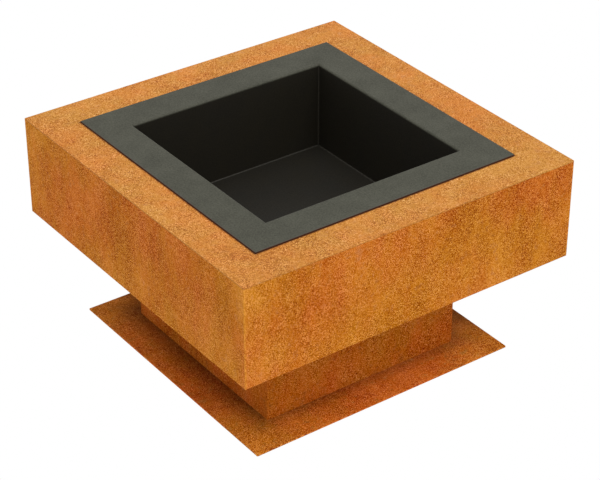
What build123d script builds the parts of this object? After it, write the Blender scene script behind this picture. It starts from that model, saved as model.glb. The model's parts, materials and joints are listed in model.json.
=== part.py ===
from build123d import *
from math import radians, tan
import os

# Square fire table in weathering steel, with a lift-out fire bowl in black steel.
#
# A flat box with a square opening in its top stands on a smaller plinth, and the plinth stands on a ground
# plate. The box and the plinth are cut sheets, mitred and welded at their corners. Inside the box, ribs carry
# the top down to the plinth. The box is bolted to a frame of angle steel in the plinth's head, and the frame in
# the plinth's foot is screwed to the ground plate. The bowl hangs in the opening by its rim and lifts out.
#
# Millimetres, +Z up. The origin is the centre of the ground plate's underside. The front faces -Y.

# Table box
TABLE_SIZE = 1000.0  # outside width and depth
TABLE_HEIGHT = 279.0  # underside to top
SHEET = 3.0  # weathering steel sheet of the box and the plinth

# Plinth and ground plate
PLINTH_SIZE = 598.0  # outside width and depth
PLINTH_HEIGHT = 297.0
GROUND_SIZE = 803.0
GROUND_THICK = 4.0

# Fire bowl
BOWL_INSIDE = 592.0  # clear width between the walls
BOWL_SHEET = 4.0
BOWL_AIR = 26.0  # under the bowl, down to the floor of the box
BOWL_GAP = 3.0  # each side, between the bowl's wall and the opening in the top plate
RIM_WIDTH = 99.0  # inner face of the wall to the outer edge of the rim
RIM_BEND = 2.0  # inside radius of the fold between the rim and the wall

# Dressed edges
CORNER_RADIUS = 2.0  # vertical corners of the box, the plinth, the rim and the ground plate
EDGE_RADIUS = 0.8  # horizontal edges

# Bars that stiffen the edge of the opening
BAR_DEPTH = 30.0
BAR_THICK = 5.0
BAR_SETBACK = 8.0  # from the edge of the opening

# Ribs inside the box, each midway between two fasteners
RIB_THICK = 4.0
RIB_FOOT = 26.0  # how far the foot reaches in past the plinth's wall
RIB_CLEAR = 6.0  # between the foot and the bowl
RIB_FILLET = 8.0
RIB_SNIPE = 14.0  # corners cut away over the welds and for water
RIB_WEB = 46.0  # least steel round the hole that lightens a rib

# Openings in the box's underside and in the ground plate
HATCH_LAND = 46.0  # from the head frame's inner edge to the opening over the hollow plinth
DRAIN_RADIUS = 6.0
DRAIN_LAND = 4.0  # between a drain hole in the ground plate and the foot frame
BOX_DRAIN_INSET = 40.0  # of a drain hole in the box, from each apron beside it

# Angle steel in the head and the foot of the plinth
ANGLE_LEG = 30.0
ANGLE_THICK = 4.0
ANGLE_ROOT = 3.0  # radius of the inner corner

# Fasteners, in one row to a side
FIXINGS_PER_SIDE = 3
FIXING_END = 76.0  # from the plinth's inner corner to the first fastener of a row
HOLE_CLEARANCE = 0.5  # each side, round a shank
THREAD_CLEARANCE = 0.1  # each side, between a shank and its nut
THREAD_LEAD = 0.8  # bevel on a shank's end
WASHER_THICK = 1.6
TURNED_FACE = 0.97  # of the width across the flats, left flat on a hexagon's turned ends
TURNED_SLOPE = 30.0  # degrees

# M8 bolts, down through the box into the head frame
BOLT_RADIUS = 4.0
BOLT_LENGTH = 20.0
BOLT_FLATS = 13.0
BOLT_HEAD = 5.3
BOLT_NUT = 6.8
BOLT_WASHER = 8.0  # outer radius

# M6 countersunk screws, up through the ground plate into the foot frame
SCREW_RADIUS = 3.0
SCREW_LENGTH = 16.0
SCREW_HEAD = 5.8  # widest radius of the head
SCREW_SUNK = 0.3  # head below the face of the ground plate
SCREW_SEAT = 0.15  # clearance round the head
SCREW_SOCKET = 4.0  # across the flats of the key's socket
SCREW_SOCKET_DEPTH = 2.0
SCREW_FLATS = 10.0
SCREW_NUT = 5.0
SCREW_WASHER = 6.0  # outer radius

# Levels that follow
PLINTH_TOP = GROUND_THICK + PLINTH_HEIGHT
BOX_FLOOR = PLINTH_TOP + SHEET
TABLE_TOP = PLINTH_TOP + TABLE_HEIGHT
TOP_UNDERSIDE = TABLE_TOP - SHEET
RIM_TOP = TABLE_TOP + BOWL_SHEET
BOWL_FOOT = BOX_FLOOR + BOWL_AIR
BOWL_FLOOR = BOWL_FOOT + BOWL_SHEET

# Distances from the middle that follow
BOX_OUT = TABLE_SIZE / 2
BOX_IN = BOX_OUT - SHEET
PLINTH_OUT = PLINTH_SIZE / 2
PLINTH_IN = PLINTH_OUT - SHEET
FRAME_IN = PLINTH_IN - ANGLE_LEG
GROUND_OUT = GROUND_SIZE / 2
BOWL_IN = BOWL_INSIDE / 2
BOWL_OUT = BOWL_IN + BOWL_SHEET
RIM_OUT = BOWL_IN + RIM_WIDTH
OPENING = BOWL_OUT + BOWL_GAP
BAR_IN = OPENING + BAR_SETBACK
BAR_OUT = BAR_IN + BAR_THICK

# Fasteners stand in the middle of the flat part of the angle's leg, evenly along each side
FIXING_LINE = PLINTH_IN - (ANGLE_LEG + ANGLE_THICK + ANGLE_ROOT) / 2
FIXING_PITCH = 2 * (PLINTH_IN - FIXING_END) / (FIXINGS_PER_SIDE - 1)

SIDES = {"right": 0, "back": 90, "left": 180, "front": 270}
ON_END = (Align.CENTER, Align.CENTER, Align.MIN)
NEAR = 0.01  # how close two lines are to count as one


# Helpers. A side's piece is drawn on the right, towards +X, and turned round to its own side.


def to_side(shape, side):
    return Rot(0, 0, SIDES[side]) * shape


def section(*points):
    """A face in the XZ plane, given its corners as (x, z)."""
    return make_face(Polyline([(x, 0, z) for x, z in points], close=True))


def strip(x0, x1, z0, z1):
    return section((x0, z0), (x1, z0), (x1, z1), (x0, z1))


def run(face, reach):
    """A section run along Y, as far to both sides of the middle."""
    return extrude(face, reach, dir=(0, 1, 0), both=True)


def rounded(shape, x, z, radius):
    """The shape with its edge along Y through (x, z) rounded."""
    along = [e for e in shape.edges().filter_by(Axis.Y) if abs(e.center().X - x) < NEAR]
    return fillet([e for e in along if abs(e.center().Z - z) < NEAR], radius)


def mitred(bar, reach, foot, top):
    """The bar cut back at 45 degrees, so that four of them close a square."""
    wedge = make_face(Polyline((0, 0, foot), (reach, -reach, foot), (reach, reach, foot), close=True))
    return bar & extrude(wedge, top - foot, dir=(0, 0, 1))


def post(half, foot, top, radius=0.0):
    """A solid square post or plate about the Z axis, with its vertical corners rounded."""
    outline = RectangleRounded(2 * half, 2 * half, radius) if radius else Rectangle(2 * half, 2 * half)
    return Pos(0, 0, foot) * extrude(outline, top - foot)


def dressed_plate(half, foot, top):
    """A plate with its corners and the edges of its upper face rounded."""
    body = post(half, foot, top, CORNER_RADIUS)
    upper = body.faces().sort_by(Axis.Z)[-1]
    return fillet(upper.edges(), EDGE_RADIUS)


def row_places():
    """How far the fasteners of one row stand from the side's middle."""
    middle = (FIXINGS_PER_SIDE - 1) / 2
    return [(n - middle) * FIXING_PITCH for n in range(FIXINGS_PER_SIDE)]


def fixing_points():
    """All the fasteners' places, as (x, y), the same in the head and the foot of the plinth."""
    across = [(i * FIXING_LINE, along) for i in (-1, 1) for along in row_places()]
    return across + [(x, y) for y, x in across]


def corner_points(distance):
    return [(distance * i, distance * j) for i in (-1, 1) for j in (-1, 1)]


def drilled(shape, points, radius, foot, top):
    drill = extrude(Circle(radius), top - foot)
    for x, y in points:
        shape -= Pos(x, y, foot) * drill
    return shape


def one_at_each(shape, points, level):
    """Separate copies of the shape, one at each (x, y)."""
    return Compound([Pos(x, y, level) * shape for x, y in points])


# Table box


def top_plate():
    return dressed_plate(BOX_OUT, TOP_UNDERSIDE, TABLE_TOP) - post(OPENING, TOP_UNDERSIDE, TABLE_TOP)


def apron(side):
    """One side of the box, from its underside up to the top plate."""
    bar = run(strip(BOX_IN, BOX_OUT, PLINTH_TOP, TOP_UNDERSIDE), BOX_OUT)
    bar = rounded(bar, BOX_OUT, PLINTH_TOP, EDGE_RADIUS)
    bar = mitred(bar, BOX_OUT, PLINTH_TOP, TOP_UNDERSIDE)
    return to_side(bar & post(BOX_OUT, PLINTH_TOP, TOP_UNDERSIDE, CORNER_RADIUS), side)


def underside_plate():
    """Set in between the aprons, with a hatch over the hollow plinth and a drain hole in each corner."""
    body = post(BOX_IN, PLINTH_TOP, BOX_FLOOR) - post(FRAME_IN - HATCH_LAND, PLINTH_TOP, BOX_FLOOR)
    body = drilled(body, fixing_points(), BOLT_RADIUS + HOLE_CLEARANCE, PLINTH_TOP, BOX_FLOOR)
    return drilled(body, corner_points(BOX_IN - BOX_DRAIN_INSET), DRAIN_RADIUS, PLINTH_TOP, BOX_FLOOR)


def opening_bar(side):
    """Flat bar on edge under the top plate, beside the opening."""
    foot = TOP_UNDERSIDE - BAR_DEPTH
    bar = run(strip(BAR_IN, BAR_OUT, foot, TOP_UNDERSIDE), BAR_OUT)
    return to_side(mitred(bar, BAR_OUT, foot, TOP_UNDERSIDE), side)


def rib(side, place):
    """Upright plate between the apron and the opening's bar, with a foot that reaches in over the plinth."""
    far = BOX_IN - RIB_SNIPE
    web = section(
        (BAR_OUT, BOX_FLOOR),
        (far, BOX_FLOOR),
        (BOX_IN, BOX_FLOOR + RIB_SNIPE),
        (BOX_IN, TOP_UNDERSIDE - RIB_SNIPE),
        (far, TOP_UNDERSIDE),
        (BAR_OUT, TOP_UNDERSIDE),
    )
    foot_in = PLINTH_IN - RIB_FOOT
    foot_top = BOWL_FOOT - RIB_CLEAR
    plate = run(web, RIB_THICK / 2) + run(strip(foot_in, far, BOX_FLOOR, foot_top), RIB_THICK / 2)
    step = BAR_OUT - foot_in
    if step > 0:
        plate = rounded(plate, BAR_OUT, foot_top, min(RIB_FILLET, step / 2))
    width, height = BOX_IN - BAR_OUT, TOP_UNDERSIDE - BOX_FLOOR
    hole = Rot(90, 0, 0) * Cylinder(min(width, height) / 2 - RIB_WEB, RIB_THICK)
    plate -= Pos(BAR_OUT + width / 2, 0, BOX_FLOOR + height / 2) * hole
    return to_side(Pos(0, place) * plate, side)


# Plinth and ground plate


def plinth_side(side):
    bar = run(strip(PLINTH_IN, PLINTH_OUT, GROUND_THICK, PLINTH_TOP), PLINTH_OUT)
    bar = mitred(bar, PLINTH_OUT, GROUND_THICK, PLINTH_TOP)
    return to_side(bar & post(PLINTH_OUT, GROUND_THICK, PLINTH_TOP, CORNER_RADIUS), side)


def angle_side(side, level, up, hole_radius):
    """Angle steel inside the plinth: one leg lies at the level, the other stands (up = 1) or hangs (-1)."""
    wall_in, flat_in = PLINTH_IN - ANGLE_THICK, level + up * ANGLE_THICK
    end = level + up * ANGLE_LEG
    outline = [(PLINTH_IN, level), (PLINTH_IN, end), (wall_in, end), (wall_in, flat_in)]
    bar = run(section(*outline, (FRAME_IN, flat_in), (FRAME_IN, level)), PLINTH_IN)
    bar = rounded(bar, wall_in, flat_in, ANGLE_ROOT)
    foot, top = min(level, end), max(level, end)
    bar = mitred(bar, PLINTH_IN, foot, top)
    row = [(FIXING_LINE, along) for along in row_places()]
    return to_side(drilled(bar, row, hole_radius, foot, top), side)


def sunk_cone(radius):
    """A 90 degree cone, wide end down, that narrows to the screw's shank."""
    return Cone(radius, SCREW_RADIUS, radius - SCREW_RADIUS, align=ON_END)


def ground_plate():
    body = dressed_plate(GROUND_OUT, 0, GROUND_THICK)
    drain = FRAME_IN - DRAIN_LAND - DRAIN_RADIUS
    body = drilled(body, corner_points(drain), DRAIN_RADIUS, 0, GROUND_THICK)
    body = drilled(body, fixing_points(), SCREW_RADIUS + HOLE_CLEARANCE, 0, GROUND_THICK)
    for x, y in fixing_points():
        body -= Pos(x, y) * sunk_cone(SCREW_HEAD + SCREW_SUNK + SCREW_SEAT)
    return body


# Fire bowl


def bowl_side(side):
    """One sheet folded once: the wall, and the rim that lies on the table. The floor stands between the walls."""
    wall = [(BOWL_IN, BOWL_FOOT), (BOWL_OUT, BOWL_FOOT), (BOWL_OUT, TABLE_TOP)]
    bar = run(section(*wall, (RIM_OUT, TABLE_TOP), (RIM_OUT, RIM_TOP), (BOWL_IN, RIM_TOP)), RIM_OUT)
    bar = rounded(bar, BOWL_OUT, TABLE_TOP, RIM_BEND)
    bar = rounded(bar, BOWL_IN, RIM_TOP, RIM_BEND + BOWL_SHEET)
    bar = rounded(bar, RIM_OUT, RIM_TOP, EDGE_RADIUS)
    bar = mitred(bar, RIM_OUT, BOWL_FOOT, RIM_TOP)
    return to_side(bar & post(RIM_OUT, BOWL_FOOT, RIM_TOP, CORNER_RADIUS), side)


def bowl_floor():
    return post(BOWL_IN, BOWL_FOOT, BOWL_FLOOR)


# Fasteners. Each is drawn about the Z axis, with z = 0 where it meets the piece that it clamps.


def hexagon(flats, height):
    """A hexagon bar with the corners of both its ends turned off."""
    corner, face = flats / 3**0.5, flats / 2 * TURNED_FACE
    drop = (corner - face) * tan(radians(TURNED_SLOPE))
    side = [(face, 0), (corner, drop), (corner, height - drop), (face, height)]
    return revolve(section((0, 0), *side, (0, height)), Axis.Z) & extrude(
        RegularPolygon(flats / 2, 6, major_radius=False), height
    )


def shank(radius, length):
    """A shank that stands on z = 0 with its end bevelled."""
    rod = Cylinder(radius, length, align=ON_END)
    end = rod.edges().filter_by(GeomType.CIRCLE).sort_by(Axis.Z)[-1]
    return chamfer(end, THREAD_LEAD)


def nut(flats, height, radius):
    return hexagon(flats, height) - extrude(Circle(radius + THREAD_CLEARANCE), height)


def washer(outer, radius):
    return extrude(Circle(outer) - Circle(radius + HOLE_CLEARANCE), WASHER_THICK)


def head_bolt():
    """Head up, shank down."""
    return hexagon(BOLT_FLATS, BOLT_HEAD) + Rot(180, 0, 0) * shank(BOLT_RADIUS, BOLT_LENGTH)


def foot_screw():
    """Head down, shank up, with a hexagon socket in the head."""
    body = sunk_cone(SCREW_HEAD) + shank(SCREW_RADIUS, SCREW_LENGTH)
    return body - extrude(RegularPolygon(SCREW_SOCKET / 2, 6, major_radius=False), SCREW_SOCKET_DEPTH)


def fasteners():
    """The rows of identical fasteners, by name."""
    points = fixing_points()
    head_under = PLINTH_TOP - ANGLE_THICK
    foot_over = GROUND_THICK + ANGLE_THICK
    bolt_washer = washer(BOLT_WASHER, BOLT_RADIUS)
    screw_washer = washer(SCREW_WASHER, SCREW_RADIUS)
    bolt_nut = nut(BOLT_FLATS, BOLT_NUT, BOLT_RADIUS)
    screw_nut = nut(SCREW_FLATS, SCREW_NUT, SCREW_RADIUS)
    return {
        "head_bolts": one_at_each(head_bolt(), points, BOX_FLOOR + WASHER_THICK),
        "head_bolt_washers": one_at_each(bolt_washer, points, BOX_FLOOR),
        "head_nut_washers": one_at_each(bolt_washer, points, head_under - WASHER_THICK),
        "head_nuts": one_at_each(bolt_nut, points, head_under - WASHER_THICK - BOLT_NUT),
        "foot_screws": one_at_each(foot_screw(), points, SCREW_SUNK),
        "foot_washers": one_at_each(screw_washer, points, foot_over),
        "foot_nuts": one_at_each(screw_nut, points, foot_over + WASHER_THICK),
    }


def sub_parts():
    """Every sub-part, by name."""
    parts = {
        "top_plate": top_plate(),
        "underside_plate": underside_plate(),
        "ground_plate": ground_plate(),
        "bowl_floor": bowl_floor(),
    }
    for side in SIDES:
        parts[f"{side}_apron"] = apron(side)
        parts[f"{side}_opening_bar"] = opening_bar(side)
        parts[f"{side}_plinth_panel"] = plinth_side(side)
        parts[f"{side}_head_angle"] = angle_side(side, PLINTH_TOP, -1, BOLT_RADIUS + HOLE_CLEARANCE)
        parts[f"{side}_foot_angle"] = angle_side(side, GROUND_THICK, 1, SCREW_RADIUS + HOLE_CLEARANCE)
        parts[f"{side}_bowl_side"] = bowl_side(side)
        for number, place in enumerate(row_places()[:-1], start=1):
            parts[f"{side}_rib_{number}"] = rib(side, place + FIXING_PITCH / 2)
    return parts | fasteners()


os.makedirs("parts", exist_ok=True)
for name, shape in sub_parts().items():
    export_step(shape, f"parts/{name}.step")
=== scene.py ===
import json
import math

import bmesh
import bpy
from mathutils import Matrix, Vector


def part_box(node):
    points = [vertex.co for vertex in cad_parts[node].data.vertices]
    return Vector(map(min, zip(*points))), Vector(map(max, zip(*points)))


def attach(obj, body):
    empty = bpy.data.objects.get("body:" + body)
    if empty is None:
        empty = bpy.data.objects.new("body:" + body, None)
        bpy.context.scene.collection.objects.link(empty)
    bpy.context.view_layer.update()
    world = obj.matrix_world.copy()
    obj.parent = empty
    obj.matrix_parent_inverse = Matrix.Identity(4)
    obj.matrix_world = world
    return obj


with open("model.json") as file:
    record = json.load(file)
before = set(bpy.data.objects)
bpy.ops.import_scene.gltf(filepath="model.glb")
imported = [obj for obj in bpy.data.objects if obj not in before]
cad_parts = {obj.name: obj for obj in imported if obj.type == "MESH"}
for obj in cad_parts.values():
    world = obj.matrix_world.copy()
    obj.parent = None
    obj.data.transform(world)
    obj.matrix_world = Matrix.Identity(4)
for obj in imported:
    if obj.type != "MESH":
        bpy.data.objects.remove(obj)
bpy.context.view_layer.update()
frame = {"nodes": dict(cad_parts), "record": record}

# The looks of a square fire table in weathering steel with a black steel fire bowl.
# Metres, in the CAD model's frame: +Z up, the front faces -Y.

MM = 0.001
SIDES = {"right": 0, "back": 90, "left": 180, "front": 270}  # degrees from +X
scene = bpy.context.scene

# Camera: at the object's front left, looking down at its middle
CAMERA_AZIMUTH = -35.92  # degrees from the front, negative to the left
CAMERA_ELEVATION = 31.654
CAMERA_DISTANCE = 5.207
CAMERA_AIM = Vector((0.012, -0.0085, 0.2784))
CAMERA_LENS = 119.32  # mm
SENSOR_WIDTH = 36.0  # mm

# Light: an even white sky, and broad soft lamps by azimuth from the front, elevation and strength
SKY_COLOR = (1.0, 0.995, 0.985)
SKY_STRENGTH = 1.0
LAMPS = {"front_lamp": (0, 55, 2.27), "left_lamp": (-90, 72, 1.25)}
LAMP_ANGLE = 35  # how wide a lamp looks from the object, in degrees
FLOOR_SIZE = 60.0
FLOOR_LEVEL = -0.5 * MM  # just clear of the ground plate's underside

# Rust: each shade's place along the pattern, and how much lighter than the rust's own colour it is on the
# display's scale
RUST_STEPS = [(0.0, -0.25), (0.25, -0.125), (0.5, 0.0), (0.75, 0.12), (1.0, 0.22)]
STEP_SHARES = (1.0, 1.0, 1.35)  # of red, green and blue: pale crumbs are creamy
DARKEST = 0.015
DISPLAY_GAMMA = 2.2

# The patterns in the rust: how fine each one is, its detail and its stretch
EVEN = (1.0, 1.0, 1.0)
FALLING = (1.0, 1.0, 0.5)  # drawn out downwards, as rain does
RUST_PATTERNS = {
    "drift": (3.0, 1.0, EVEN),
    "clouds": (7.0, 3.0, FALLING),
    "patches": (21.0, 3.0, FALLING),
    "tint": (24.0, 1.0, FALLING),
    "blotches": (60.0, 3.0, EVEN),
    "mottle": (125.0, 2.0, EVEN),
    "crumbs": (255.0, 2.0, EVEN),
    "dust": (520.0, 2.0, EVEN),
}

# How much each pattern counts in the shade, in the strength of its grain, in the red and in the umber stains
COARSE_SHADE = {"clouds": 0.7, "patches": 0.3, "blotches": 0.12}
FINE_SHADE = {"mottle": 0.2, "crumbs": 1.15, "dust": 2.9}
GRAININESS = {"patches": 1.0, "clouds": 0.6}
REDNESS = {"drift": 1.0, "clouds": 0.5, "tint": 0.5}
STAINS = {"blotches": 1.0, "patches": 0.9, "mottle": 0.5}

# A band says where a change starts and ends, and may add its strength at the start and at the end
GRAIN_FROM, GRAIN_TO = -0.12, 0.12
GRAIN_MOST, GRAIN_LEAST = 1.3, 0.7  # dark patches are grainier than pale ones
RED_BAND = (-0.2, 0.2)
STAIN_BAND = (0.08, 0.3, 0.0, 0.6)
RUST_ROUGHNESS_BAND = (0.3, 0.7, 0.7, 0.9)
RUST_RELIEF = 0.12 * MM

# Painted highlight at the box's upright corners: paler steel with a ragged edge
CORNER_HIGHLIGHT_WIDTH = 5.0 * MM
CORNER_HIGHLIGHT_MOST = 0.45
CORNER_HIGHLIGHT_WANDER = 12.0 * MM
CORNER_HIGHLIGHT_COLOR = (0.55, 0.25, 0.03)

# Dark steel on the top plate beside the bowl's rim, by distance from the rim: partly grimy, partly painted
# shade where the rim sits on the plate
GRIME_AND_SHADE_BAND = (0.5 * MM, 4.5 * MM, 0.85, 0.0)
GRIME_AND_SHADE_WANDER = 6.0 * MM
GRIME_AND_SHADE_COLOR = (0.07, 0.015, 0.002)

# Darker steel on the ground plate's upper side: partly damp and partly painted shade along the plinth's foot,
# and a painted shadow towards the back right
UPPER_BAND = (1.0 * MM, 2.0 * MM)  # by height
DAMP_AND_SHADE_BAND = (-0.01, 0.07, 0.75, 0.0)  # by distance from the plinth
DAMP_AND_SHADE_WANDER = 40.0 * MM
DAMP_AND_SHADE_SHIFT = 25.0 * MM  # how much wider the damp and painted shade are behind the plinth than in front
DAMP_AND_SHADE_COLOR = (0.05, 0.018, 0.004)
PLINTH_SHADOW_BAND = (0.06, 0.17, 0.0, 0.6)  # painted shadow, by x + y, darker towards the back right
PLINTH_SHADOW_COLOR = (0.05, 0.028, 0.006)
REDDER_MIDDLES_BAND = (0.1, 0.33, 0.3, -0.45)  # redder midway along its sides, yellower at its corners

# Black paint, and the smoke-blackened inside of the bowl, partly painted shade: the darkest and the palest of
# each
SHADE_ENDS = (0.2, 0.8)  # the shades that these two stand at
PAINT = ((0.018, 0.018, 0.0105), (0.037, 0.037, 0.0245))
SOOT_AND_SHADE = ((0.0038, 0.0028, 0.0008), (0.0078, 0.006, 0.0024))
SEAM_SOOT_AND_HIGHLIGHT = ((0.0105, 0.009, 0.0055), (0.0215, 0.019, 0.013))  # paler than the smoke-blackened inside: a painted highlight along the welds ground smooth
PAINT_CLOUDS = (14.0, 4.0)  # how fine, and the detail
PAINT_STIPPLE = (240.0, 3.0)
PAINT_SHADE = {"clouds": 0.75, "stipple": 1.6}
PAINT_ROUGHNESS = (0.66, 0.54)
PAINT_SPECULAR = 0.28
PAINT_RELIEF = 0.2 * MM
SOOT_AND_PAINTED_LIGHT_BAND = (-2.0 * MM, -8.0 * MM)  # where the smoke-blackened inside, partly painted light, takes over, by height from the top of the rim
SOOTIER_AND_SHADIER_BAND = (1.0 * MM, 2.0 * MM, 0.22, 0.0)  # the floor darker still, partly smoke and partly painted shade, by height over the bowl's floor
RIM_EDGE_SHADE_BAND = (-1.4 * MM, -0.6 * MM)  # by distance out from the rim's outer edge: a dark reddish painted shade along it
RIM_EDGE_SHADE_COLOR = (0.026, 0.005, 0.0002)

# Zinc
ZINC_BLOOM = (160.0, 4.0, 0.7)  # how fine, the detail and the roughness of the pattern
ZINC_BLOOM_BAND = (0.35, 0.7)
ZINC_DULL, ZINC_PALE = (0.42, 0.43, 0.44), (0.62, 0.62, 0.6)
ZINC_ROUGHNESS_BAND = (0.3, 0.7, 0.32, 0.55)
ZINC_GRAIN = 900.0
ZINC_RELIEF = 0.1 * MM

# Weld beads
BEAD_LEG = 4.0 * MM
BEAD_PITCH = 2.6 * MM  # from one ripple to the next
BEAD_RIPPLE = 0.07  # share of the leg
BEAD_BOW = 0.8 * MM  # how far a ripple runs ahead in the middle of the bead
BEAD_SUNK = 0.4 * MM
BEAD_END = 0.45  # how thick a bead is at its ends, as a share of the leg
BEAD_FLATNESS = 1.3  # 1 would be a quarter circle
BEAD_FACETS = 6  # across the bead's face
STITCH = 40.0 * MM
TOE_LEG = 3.0 * MM  # of the stitches along the angle frames
COVE_LEG = 2.5 * MM
COVE_RINGS = 0.5  # rings per pitch: a cove has no ripples
COVE_TOP = 4.0 * MM  # how far below the top plate's face the upright coves end
CREASE = 50  # degrees

# A rib's welds: how far each starts and ends from the corner that it runs out of
APRON_FOOT_RUN = (0.03, 0.08)
APRON_HEAD_RUN = (0.08, 0.03)
PLATE_RUN = (0.07, 0.03)
BAR_RUN = (0.026, 0.003)
RIB_FOOT_RUN = (0.01, 0.05)

# Where along a side the stitches are
BOX_STITCHES = (-0.36, -0.2, 0.0, 0.2, 0.36)
BAR_STITCHES = (-0.22, 0.0, 0.22)
PLINTH_STITCHES = (-0.22, -0.11, 0.0, 0.11, 0.22)

# Sizes read off the CAD model
TOP_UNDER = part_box("top_plate")[0].z
TABLE_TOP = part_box("top_plate")[1].z
BOX_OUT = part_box("top_plate")[1].x
BOX_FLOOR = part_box("underside_plate")[1].z
BOX_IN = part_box("underside_plate")[1].x
BAR_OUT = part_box("right_opening_bar")[1].x
PLINTH_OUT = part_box("right_plinth_panel")[1].x
PLINTH_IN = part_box("right_plinth_panel")[0].x
HEAD_ANGLE_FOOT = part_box("right_head_angle")[0].z
FOOT_ANGLE_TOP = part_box("right_foot_angle")[1].z
BOWL_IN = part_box("bowl_floor")[1].x
BOWL_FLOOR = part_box("bowl_floor")[1].z
RIM_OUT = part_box("right_bowl_side")[1].x
RIM_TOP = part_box("right_bowl_side")[1].z


# Shader helpers


def new_material(name):
    """A material with an empty tree, and the tree's Principled shader."""
    material = bpy.data.materials.new(name)
    material.use_nodes = True
    tree = material.node_tree
    tree.nodes.clear()
    shader = tree.nodes.new("ShaderNodeBsdfPrincipled")
    output = tree.nodes.new("ShaderNodeOutputMaterial")
    tree.links.new(shader.outputs["BSDF"], output.inputs["Surface"])
    return material, tree, shader


def feed(tree, socket, value):
    """Sets a socket to a plain value, or links it to another node's output."""
    if isinstance(value, bpy.types.NodeSocket):
        tree.links.new(value, socket)
    else:
        socket.default_value = value


def maths(tree, operation, *values):
    node = tree.nodes.new("ShaderNodeMath")
    node.operation = operation
    for socket, value in zip(node.inputs, values):
        feed(tree, socket, value)
    return node.outputs[0]


def place_of(tree, shift=(0, 0, 0), stretch=EVEN):
    """Points of the object's own space, in metres, shifted and stretched."""
    coordinates = tree.nodes.new("ShaderNodeTexCoord")
    mapping = tree.nodes.new("ShaderNodeMapping")
    mapping.inputs["Location"].default_value = shift
    mapping.inputs["Scale"].default_value = stretch
    tree.links.new(coordinates.outputs["Object"], mapping.inputs["Vector"])
    return mapping.outputs["Vector"]


def noise(tree, vector, scale, detail=2.0, roughness=0.6):
    texture = tree.nodes.new("ShaderNodeTexNoise")
    tree.links.new(vector, texture.inputs["Vector"])
    texture.inputs["Scale"].default_value = scale
    texture.inputs["Detail"].default_value = detail
    texture.inputs["Roughness"].default_value = roughness
    return texture.outputs["Fac"]


def spread(tree, value, low, high, to_low=0.0, to_high=1.0):
    """The value's range low..high stretched to another range, and held at its ends."""
    remap = tree.nodes.new("ShaderNodeMapRange")
    tree.links.new(value, remap.inputs["Value"])
    for name, number in (("From Min", low), ("From Max", high), ("To Min", to_low), ("To Max", to_high)):
        remap.inputs[name].default_value = number
    return remap.outputs["Result"]


def blend(tree, fac, first, second):
    """Two colours mixed by fac."""
    mix = tree.nodes.new("ShaderNodeMix")
    mix.data_type = "RGBA"
    feed(tree, mix.inputs["Factor"], fac)
    sockets = [s for s in mix.inputs if s.type == "RGBA"]
    feed(tree, sockets[0], first)
    feed(tree, sockets[1], second)
    return next(s for s in mix.outputs if s.type == "RGBA")


def ramp(tree, fac, stops):
    """A colour for each value, in straight lines between the stops (value, colour)."""
    colors = tree.nodes.new("ShaderNodeValToRGB")
    tree.links.new(fac, colors.inputs["Fac"])
    elements = colors.color_ramp.elements
    elements.remove(elements[0])
    elements[0].position, elements[0].color = stops[0]
    for place, color in stops[1:]:
        elements.new(place).color = color
    return colors.outputs["Color"]


def weighted(tree, patterns, weights, share=1.0):
    """Patterns about 0.5 added up about 0, each with its weight."""
    total = 0.0
    for name, weight in weights.items():
        centred = maths(tree, "SUBTRACT", patterns[name], 0.5)
        total = maths(tree, "MULTIPLY_ADD", centred, weight * share, total)
    return total


def wandering(tree, distance, patterns, names, reach):
    """A distance that wanders to and fro with the named patterns, so that an edge drawn by it is ragged."""
    sway = weighted(tree, patterns, dict.fromkeys(names, 1.0))
    return maths(tree, "MULTIPLY_ADD", sway, reach, distance)


def bump(tree, shader, height, distance):
    relief = tree.nodes.new("ShaderNodeBump")
    tree.links.new(height, relief.inputs["Height"])
    relief.inputs["Distance"].default_value = distance
    tree.links.new(relief.outputs["Normal"], shader.inputs["Normal"])


def rgb(red, green, blue):
    return (red, green, blue, 1.0)


def coordinate(tree, at, axis):
    parts = tree.nodes.new("ShaderNodeSeparateXYZ")
    tree.links.new(at, parts.inputs["Vector"])
    return parts.outputs[axis]


def from_middle(tree, at):
    """The larger of |x| and |y|: how far a point stands from the middle, square-wise."""
    across, along = (maths(tree, "ABSOLUTE", coordinate(tree, at, axis)) for axis in "XY")
    return maths(tree, "MAXIMUM", across, along)


def nearer_side(tree, at):
    """The smaller of |x| and |y|: large only near the upright corners."""
    across, along = (maths(tree, "ABSOLUTE", coordinate(tree, at, axis)) for axis in "XY")
    return maths(tree, "MINIMUM", across, along)


# Weathering steel


def rust_patterns(tree, shift):
    """The rust's noises by name, moved by the shift so that no two steels look alike."""
    places = {stretch: place_of(tree, shift, stretch) for stretch in (EVEN, FALLING)}
    patterns = {}
    for name, (scale, detail, stretch) in RUST_PATTERNS.items():
        patterns[name] = noise(tree, places[stretch], scale, detail)
    return patterns


def rust_ramp(tree, shade, color):
    """Shades of one rust: the lighter, the yellower, and the darker, the redder."""
    shown = [c ** (1 / DISPLAY_GAMMA) for c in color]
    stops = []
    for place, step in RUST_STEPS:
        stepped = [max(DARKEST, s + step * share) for s, share in zip(shown, STEP_SHARES)]
        stops.append((place, rgb(*(s**DISPLAY_GAMMA for s in stepped))))
    return ramp(tree, shade, stops)


def corner_highlights(tree, patterns, color):
    """Paler steel at the box's upright corners: a painted highlight along each corner."""
    near = nearer_side(tree, place_of(tree))
    near = wandering(tree, near, patterns, ("crumbs", "blotches"), CORNER_HIGHLIGHT_WANDER)
    # a painted highlight, palest right at each corner
    corner = spread(tree, near, BOX_OUT - CORNER_HIGHLIGHT_WIDTH, BOX_OUT, 0.0, CORNER_HIGHLIGHT_MOST)
    return blend(tree, corner, color, rgb(*CORNER_HIGHLIGHT_COLOR))


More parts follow.
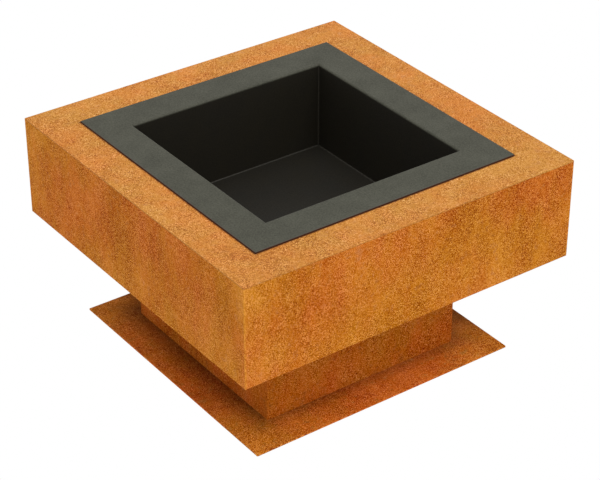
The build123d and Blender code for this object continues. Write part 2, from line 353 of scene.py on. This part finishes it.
def rim_grime_and_shade(tree, patterns, color):
    """Dark steel beside the bowl's rim: partly grimy, partly painted shade."""
    away = maths(tree, "SUBTRACT", from_middle(tree, place_of(tree)), RIM_OUT)
    # the dark band beside the rim: partly grimy steel, partly painted shade
    grime_and_shade = spread(tree, wandering(tree, away, patterns, ("crumbs",), GRIME_AND_SHADE_WANDER), *GRIME_AND_SHADE_BAND)
    return blend(tree, grime_and_shade, color, rgb(*GRIME_AND_SHADE_COLOR))


def damp_and_painted_shade(tree, patterns, color):
    """Darker steel on the ground plate's upper side: partly damp and partly painted shade along the plinth's
    foot, and a painted shadow towards the back right.
    """
    here = place_of(tree)
    upper = spread(tree, coordinate(tree, here, "Z"), *UPPER_BAND)

    middle = from_middle(tree, place_of(tree, (0.0, -DAMP_AND_SHADE_SHIFT, 0.0)))
    away = maths(tree, "SUBTRACT", middle, PLINTH_OUT)
    # along the plinth's foot: partly damp steel, partly painted shade
    foot = spread(tree, wandering(tree, away, patterns, ("blotches",), DAMP_AND_SHADE_WANDER), *DAMP_AND_SHADE_BAND)
    color = blend(tree, maths(tree, "MULTIPLY", foot, upper), color, rgb(*DAMP_AND_SHADE_COLOR))

    # a painted shadow on the ground plate, darker towards the back right
    backward = maths(tree, "ADD", coordinate(tree, here, "X"), coordinate(tree, here, "Y"))
    plinth_shadow = spread(tree, backward, *PLINTH_SHADOW_BAND)
    return blend(tree, maths(tree, "MULTIPLY", plinth_shadow, upper), color, rgb(*PLINTH_SHADOW_COLOR))


def redder_middles(tree):
    return spread(tree, nearer_side(tree, place_of(tree)), *REDDER_MIDDLES_BAND)


def weathering_steel(
    name, shift, bright, red, umber, grain=0.95, cloud=1.0, specular=0.03, more_red=None, marks_and_painted_light=None
):
    """Rust patina: clouds of bright and red rust, umber stains, and a grain of pale and dark crumbs.

    more_red gives what is added to the share of red rust, and the last argument changes the colour for grimy
    and damp steel and for painted shade and painted highlights.
    """
    material, tree, shader = new_material(name)
    patterns = rust_patterns(tree, shift)

    coarse = weighted(tree, patterns, COARSE_SHADE, cloud)
    fine = weighted(tree, patterns, FINE_SHADE)
    graininess = weighted(tree, patterns, GRAININESS)
    gain = spread(tree, graininess, GRAIN_FROM, GRAIN_TO, GRAIN_MOST * grain, GRAIN_LEAST * grain)
    shade = maths(tree, "MULTIPLY_ADD", fine, gain, coarse)
    shade = maths(tree, "ADD", shade, 0.5)

    redness = spread(tree, weighted(tree, patterns, REDNESS), *RED_BAND)
    if more_red:
        redness = maths(tree, "ADD", redness, more_red(tree))
    color = blend(tree, redness, rust_ramp(tree, shade, bright), rust_ramp(tree, shade, red))
    stain = spread(tree, weighted(tree, patterns, STAINS), *STAIN_BAND)
    color = blend(tree, stain, color, rust_ramp(tree, shade, umber))
    if marks_and_painted_light:
        color = marks_and_painted_light(tree, patterns, color)

    tree.links.new(color, shader.inputs["Base Color"])
    roughness = spread(tree, patterns["mottle"], *RUST_ROUGHNESS_BAND)
    tree.links.new(roughness, shader.inputs["Roughness"])
    shader.inputs["Specular IOR Level"].default_value = specular
    bump(tree, shader, patterns["crumbs"], RUST_RELIEF)
    return material


# Other materials


def between(tree, shade, colors):
    """From the first colour to the second as the shade goes from dark to pale."""
    return ramp(tree, shade, [(end, rgb(*color)) for end, color in zip(SHADE_ENDS, colors)])


def black_paint(name, soot_and_painted_light):
    """Matt heat-resistant paint, cloudy and stippled. In the bowl it takes the given smoke-blackened colours,
    which are partly painted light, and at the rim's outer edge it darkens as a painted shade.
    """
    material, tree, shader = new_material(name)
    at = place_of(tree)
    patterns = {"clouds": noise(tree, at, *PAINT_CLOUDS), "stipple": noise(tree, at, *PAINT_STIPPLE)}
    shade = maths(tree, "ADD", weighted(tree, patterns, PAINT_SHADE), 0.5)
    height = coordinate(tree, at, "Z")

    # inside the bowl, darker than the rim and darkest on the floor: partly smoke-blackening, partly painted
    # shade
    full, gone, most, least = SOOTIER_AND_SHADIER_BAND
    sootier_and_shadier = spread(tree, height, BOWL_FLOOR + full, BOWL_FLOOR + gone, most, least)
    soot_and_painted_light_color = blend(tree, sootier_and_shadier, between(tree, shade, soot_and_painted_light), rgb(0.0, 0.0, 0.0))
    sooty_and_painted_light = spread(tree, height, *(RIM_TOP + offset for offset in SOOT_AND_PAINTED_LIGHT_BAND))
    color = blend(tree, sooty_and_painted_light, between(tree, shade, PAINT), soot_and_painted_light_color)
    # painted shade along the rim's outer edge, where it meets the top plate
    edge = spread(tree, from_middle(tree, at), *(RIM_OUT + offset for offset in RIM_EDGE_SHADE_BAND))
    color = blend(tree, edge, color, rgb(*RIM_EDGE_SHADE_COLOR))

    tree.links.new(color, shader.inputs["Base Color"])
    roughness = spread(tree, shade, *SHADE_ENDS, *PAINT_ROUGHNESS)
    tree.links.new(roughness, shader.inputs["Roughness"])
    shader.inputs["Specular IOR Level"].default_value = PAINT_SPECULAR
    bump(tree, shader, patterns["stipple"], PAINT_RELIEF)
    return material


def zinc_plate(name):
    """Galvanised fasteners, dulled outdoors."""
    material, tree, shader = new_material(name)
    at = place_of(tree)
    bloom = noise(tree, at, *ZINC_BLOOM)
    color = blend(tree, spread(tree, bloom, *ZINC_BLOOM_BAND), rgb(*ZINC_DULL), rgb(*ZINC_PALE))
    tree.links.new(color, shader.inputs["Base Color"])
    tree.links.new(spread(tree, bloom, *ZINC_ROUGHNESS_BAND), shader.inputs["Roughness"])
    shader.inputs["Metallic"].default_value = 1.0
    bump(tree, shader, noise(tree, at, ZINC_GRAIN), ZINC_RELIEF)
    return material


def floor_material():
    """Plain white from above, and clear from below, so that views from there show the table's underside."""
    material, tree, shader = new_material("studio_floor")
    shader.inputs["Base Color"].default_value = rgb(0.0, 0.0, 0.0)
    shader.inputs["Roughness"].default_value = 1.0
    shader.inputs["Specular IOR Level"].default_value = 0.0
    shader.inputs["Emission Color"].default_value = rgb(1.0, 1.0, 1.0)
    shader.inputs["Emission Strength"].default_value = 1.0
    face = tree.nodes.new("ShaderNodeNewGeometry")
    clear = tree.nodes.new("ShaderNodeBsdfTransparent")
    either = tree.nodes.new("ShaderNodeMixShader")
    tree.links.new(face.outputs["Backfacing"], either.inputs["Fac"])
    tree.links.new(shader.outputs["BSDF"], either.inputs[1])
    tree.links.new(clear.outputs["BSDF"], either.inputs[2])
    tree.links.new(either.outputs["Shader"], tree.nodes["Material Output"].inputs["Surface"])
    return material


# Studio


def toward(azimuth, elevation):
    """The direction from the object to the camera or a lamp, by its angles in degrees."""
    a, e = math.radians(azimuth), math.radians(elevation)
    return Vector((math.sin(a) * math.cos(e), -math.cos(a) * math.cos(e), math.sin(e)))


def add_camera():
    back = toward(CAMERA_AZIMUTH, CAMERA_ELEVATION)
    data = bpy.data.cameras.new("camera")
    data.lens = CAMERA_LENS
    data.sensor_width = SENSOR_WIDTH
    camera = bpy.data.objects.new("camera", data)
    camera.location = CAMERA_AIM + back * CAMERA_DISTANCE
    camera.rotation_euler = (-back).to_track_quat("-Z", "Y").to_euler()
    scene.collection.objects.link(camera)
    scene.camera = camera


def add_sky():
    world = bpy.data.worlds.new("studio")
    world.use_nodes = True
    background = world.node_tree.nodes["Background"]
    background.inputs["Color"].default_value = rgb(*SKY_COLOR)
    background.inputs["Strength"].default_value = SKY_STRENGTH
    scene.world = world


def add_lamps():
    for name, (azimuth, elevation, strength) in LAMPS.items():
        data = bpy.data.lights.new(name, "SUN")
        data.energy = strength
        data.angle = math.radians(LAMP_ANGLE)
        lamp = bpy.data.objects.new(name, data)
        back = toward(azimuth, elevation)
        lamp.location = back * CAMERA_DISTANCE
        lamp.rotation_euler = back.to_track_quat("Z", "Y").to_euler()
        scene.collection.objects.link(lamp)


def add_floor():
    half = FLOOR_SIZE / 2
    mesh = bpy.data.meshes.new("studio_floor")
    corners = [(-half, -half), (half, -half), (half, half), (-half, half)]
    mesh.from_pydata([(x, y, FLOOR_LEVEL) for x, y in corners], [], [(0, 1, 2, 3)])
    mesh.materials.append(floor_material())
    floor = bpy.data.objects.new("studio_floor", mesh)
    floor.visible_diffuse = False
    floor.visible_glossy = False
    floor.visible_shadow = False
    scene.collection.objects.link(floor)


# Paint


# The top, plinth and ground rusts are copies of the side's steel toned apart as painted light: the top's
# paler, less red base is painted sheen, and the plinth's and the ground plate's darker bases are painted
# shade under the box.
RUSTS = {
    "top": weathering_steel(
        "corten_top_painted_sheen",
        shift=(1.5, 6.2, 5.7),
        bright=(0.306, 0.127, 0.011),
        red=(0.312, 0.099, 0.0055),
        umber=(0.24, 0.092, 0.016),
        grain=0.6,
        cloud=0.5,
        specular=0.2,
        marks_and_painted_light=rim_grime_and_shade,
    ),
    "side": weathering_steel(
        "corten_side",
        shift=(6.2, 4.6, 5.6),
        bright=(0.372, 0.124, 0.0015),
        red=(0.357, 0.085, 0.001),
        umber=(0.24, 0.071, 0.006),
        marks_and_painted_light=corner_highlights,
    ),
    "plinth": weathering_steel(
        "corten_plinth_painted_shade",
        shift=(9.0, 6.6, 7.9),
        bright=(0.33, 0.094, 0.0005),
        red=(0.34, 0.063, 0.0004),
        umber=(0.2, 0.053, 0.003),
        grain=0.66,
        cloud=0.7,
    ),
    "ground": weathering_steel(
        "corten_ground_painted_shade",
        shift=(1.3, 6.2, 2.9),
        bright=(0.36, 0.108, 0.0005),
        red=(0.375, 0.076, 0.0002),
        umber=(0.19, 0.075, 0.003),
        grain=1.05,
        more_red=redder_middles,
        marks_and_painted_light=damp_and_painted_shade,
    ),
    "weld": weathering_steel(
        "weld_rust",
        shift=(2.3, 4.1, 5.2),
        bright=(0.3, 0.1, 0.012),
        red=(0.27, 0.07, 0.008),
        umber=(0.14, 0.055, 0.012),
        specular=0.3,
    ),
}
BLACK = black_paint("black_paint", SOOT_AND_SHADE)
SEAM_BLACK_HIGHLIGHT = black_paint("seam_black_painted_highlight", SEAM_SOOT_AND_HIGHLIGHT)
ZINC = zinc_plate("zinc")


def material_for(node, slot):
    if slot == "black_heat_paint":
        return BLACK
    if slot == "zinc":
        return ZINC
    if node == "top_plate":
        return RUSTS["top"]
    if node == "ground_plate":
        return RUSTS["ground"]
    if "plinth" in node or "angle" in node:
        return RUSTS["plinth"]
    return RUSTS["side"]


def paint_frame():
    """Gives each CAD node its material."""
    for row in frame["record"]["subparts"]:
        materials = frame["nodes"][row["node"]].data.materials
        materials.clear()
        materials.append(material_for(row["node"], row["material_slot"]))


# Welds. Each is drawn on the right side of the table, towards +X, and turned round to its own side.


IN, OUT, UP, DOWN = Vector((-1, 0, 0)), Vector((1, 0, 0)), Vector((0, 0, 1)), Vector((0, 0, -1))
FORTH, BACK = Vector((0, 1, 0)), Vector((0, -1, 0))


def turned(side):
    return Matrix.Rotation(math.radians(SIDES[side]), 3, "Z")


def bead(mesh, start, end, out_a, out_b, leg=BEAD_LEG, ripple=BEAD_RIPPLE, rings_per_pitch=4, hollow=False):
    """A fillet weld along the corner from start to end, between the faces that out_a and out_b lie in.

    Its ripples are bowed, its ends taper, and its back is sunk into the steel.
    """
    along = end - start
    length = along.length
    along.normalize()
    rings = max(4, round(length / BEAD_PITCH * rings_per_pitch))
    loops = []
    for i in range(rings + 1):
        t = i / rings
        taper = min(1.0, BEAD_END + (1 - BEAD_END) * min(t, 1 - t) * length / leg)
        size = leg * taper * (1 + ripple * math.sin(math.tau * i / rings_per_pitch))
        ring = []
        for j in range(BEAD_FACETS + 1):
            turn = math.pi / 2 * j / BEAD_FACETS
            a, b = math.cos(turn), math.sin(turn)
            a, b = (1 - b, 1 - a) if hollow else (a**BEAD_FLATNESS, b**BEAD_FLATNESS)
            bow = BEAD_BOW * math.sin(2 * turn) * taper * (ripple > 0)
            ring.append(mesh.verts.new(start + along * (t * length + bow) + (out_a * a + out_b * b) * size))
        ring.append(mesh.verts.new(start + along * t * length - (out_a + out_b) * BEAD_SUNK))
        loops.append(ring)
    for first, second in zip(loops, loops[1:]):
        for k in range(len(first)):
            n = (k + 1) % len(first)
            mesh.faces.new((first[k], first[n], second[n], second[k]))
    mesh.faces.new(loops[0])
    mesh.faces.new(loops[-1])


def stitches(mesh, turn, places, at, out_a, out_b, leg=BEAD_LEG):
    """Short beads along Y at (x, z), each about its own place."""
    for place in places:
        ends = [turn @ Vector((at[0], place + half, at[1])) for half in (-STITCH / 2, STITCH / 2)]
        bead(mesh, *ends, turn @ out_a, turn @ out_b, leg)


def piece(name, mesh, material, body):
    """A mesh as a finished piece, smooth except at its creases."""
    bmesh.ops.recalc_face_normals(mesh, faces=mesh.faces)
    data = bpy.data.meshes.new(name)
    mesh.to_mesh(data)
    mesh.free()
    data.shade_smooth()
    data.set_sharp_from_angle(angle=math.radians(CREASE))
    data.materials.append(material)
    made = bpy.data.objects.new(name, data)
    scene.collection.objects.link(made)
    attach(made, body)


def rib_welds():
    """On both faces of each rib: to the apron, the top plate, the box's floor and the bar at the opening."""
    lines = [
        ((BOX_IN, BOX_FLOOR), UP, APRON_FOOT_RUN, IN),
        ((BOX_IN, TOP_UNDER), DOWN, APRON_HEAD_RUN, IN),
        ((BOX_IN, TOP_UNDER), IN, PLATE_RUN, DOWN),
        ((BAR_OUT, TOP_UNDER), DOWN, BAR_RUN, OUT),
        ((BOX_IN, BOX_FLOOR), IN, PLATE_RUN, UP),
        ((BAR_OUT, BOX_FLOOR), OUT, RIB_FOOT_RUN, UP),
    ]
    mesh = bmesh.new()
    for side in SIDES:
        turn = turned(side)
        for number in (1, 2):
            low, high = (turn.transposed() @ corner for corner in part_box(f"{side}_rib_{number}"))
            for y, off in zip(sorted((low.y, high.y)), (BACK, FORTH)):
                for (x, z), along, run, wall in lines:
                    ends = [turn @ (Vector((x, y, z)) + along * reach) for reach in run]
                    bead(mesh, *ends, turn @ wall, turn @ off)
    piece("rib_welds", mesh, RUSTS["weld"], "table")


def box_welds():
    """Stitches round the box's floor and under its top, and full seams down its four corners."""
    mesh = bmesh.new()
    for side in SIDES:
        turn = turned(side)
        stitches(mesh, turn, BOX_STITCHES, (BOX_IN, BOX_FLOOR), IN, UP)
        stitches(mesh, turn, BOX_STITCHES, (BOX_IN, TOP_UNDER), IN, DOWN)
        stitches(mesh, turn, BAR_STITCHES, (BAR_OUT, TOP_UNDER), OUT, DOWN)
        foot, head = (Vector((BOX_IN, BOX_IN, z)) for z in (BOX_FLOOR, TOP_UNDER))
        bead(mesh, turn @ foot, turn @ head, turn @ IN, turn @ BACK)
    piece("box_welds", mesh, RUSTS["weld"], "table")


def plinth_welds():
    """Seams down the plinth's inner corners, and stitches along the toes of its angle frames."""
    mesh = bmesh.new()
    for side in SIDES:
        turn = turned(side)
        foot, head = (Vector((PLINTH_IN, PLINTH_IN, z)) for z in (FOOT_ANGLE_TOP, HEAD_ANGLE_FOOT))
        bead(mesh, turn @ foot, turn @ head, turn @ IN, turn @ BACK)
        stitches(mesh, turn, PLINTH_STITCHES, (PLINTH_IN, HEAD_ANGLE_FOOT), DOWN, IN, TOE_LEG)
        stitches(mesh, turn, PLINTH_STITCHES, (PLINTH_IN, FOOT_ANGLE_TOP), UP, IN, TOE_LEG)
    piece("plinth_welds", mesh, RUSTS["weld"], "table")


def bowl_coves():
    """Welds ground hollow along the bowl's inner corners, round its floor and up between its walls."""
    cove = {"leg": COVE_LEG, "ripple": 0.0, "rings_per_pitch": COVE_RINGS, "hollow": True}
    mesh = bmesh.new()
    for side in SIDES:
        turn = turned(side)
        start, corner = (Vector((BOWL_IN, y, BOWL_FLOOR)) for y in (-BOWL_IN, BOWL_IN))
        bead(mesh, turn @ start, turn @ corner, turn @ IN, turn @ UP, **cove)
        top = Vector((BOWL_IN, BOWL_IN, TABLE_TOP - COVE_TOP))
        bead(mesh, turn @ corner, turn @ top, turn @ IN, turn @ BACK, **cove)
    # the coves' paler black is a painted highlight along the bowl's inner corners
    piece("bowl_coves", mesh, SEAM_BLACK_HIGHLIGHT, "fire_bowl")


add_camera()
add_sky()
add_lamps()
add_floor()
paint_frame()
rib_welds()
box_welds()
plinth_welds()
bowl_coves()
scene.view_settings.view_transform = "Standard"
